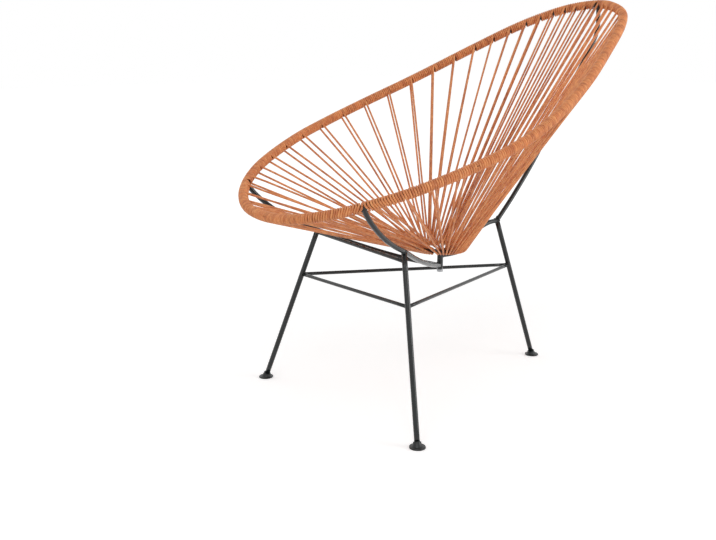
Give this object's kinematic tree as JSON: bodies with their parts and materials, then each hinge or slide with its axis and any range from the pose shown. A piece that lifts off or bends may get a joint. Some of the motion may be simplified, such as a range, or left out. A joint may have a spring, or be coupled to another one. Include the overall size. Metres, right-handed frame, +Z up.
{
  "type": "acapulco chair",
  "caption": "Low lounge chair with a pear-shaped cone seat of round cord strung between a wound steel hoop and a small hub ring, on three slim splayed steel legs.",
  "frame": {"origin": "on the floor, under the middle of the seat's width and depth", "axes": "+Z up; the chair faces -Y, so the sitter's left is +X"},
  "size_m": [0.6756, 1.0297, 0.8997],
  "materials": {
    "painted_steel": "dark grey semi-gloss paint on bent steel rod",
    "zinc_steel": "dark zinc-plated fasteners",
    "foot_steel": "dark satin paint, worn at the edge",
    "seat_cord": "cognac round leather cord, satin, darker in the turns"
  },
  "bodies": {
    "root": {"seat_hoop": "painted_steel", "hub_boss": "painted_steel", "hub_ring": "painted_steel", "hub_bracket": "painted_steel", "left_rib": "painted_steel", "right_rib": "painted_steel", "rear_spoke": "painted_steel", "rear_upright": "painted_steel", "front_left_leg": "painted_steel", "front_right_leg": "painted_steel", "rear_leg": "painted_steel", "front_top_bar": "painted_steel", "front_stretcher": "painted_steel", "left_stretcher": "painted_steel", "right_stretcher": "painted_steel", "hub_bolt": "zinc_steel", "hub_washer": "zinc_steel", "hub_nut": "zinc_steel", "front_left_foot": "foot_steel", "front_right_foot": "foot_steel", "rear_foot": "foot_steel", "cord_panel_left_1": "seat_cord", "cord_panel_right_1": "seat_cord", "cord_panel_left_2": "seat_cord", "cord_panel_right_2": "seat_cord", "cord_panel_left_3": "seat_cord", "cord_panel_right_3": "seat_cord", "cord_panel_left_4": "seat_cord", "cord_panel_right_4": "seat_cord", "cord_panel_left_5": "seat_cord", "cord_panel_right_5": "seat_cord", "cord_panel_left_6": "seat_cord", "cord_panel_right_6": "seat_cord", "cord_panel_left_7": "seat_cord", "cord_panel_right_7": "seat_cord"}
  },
  "joints": []
}
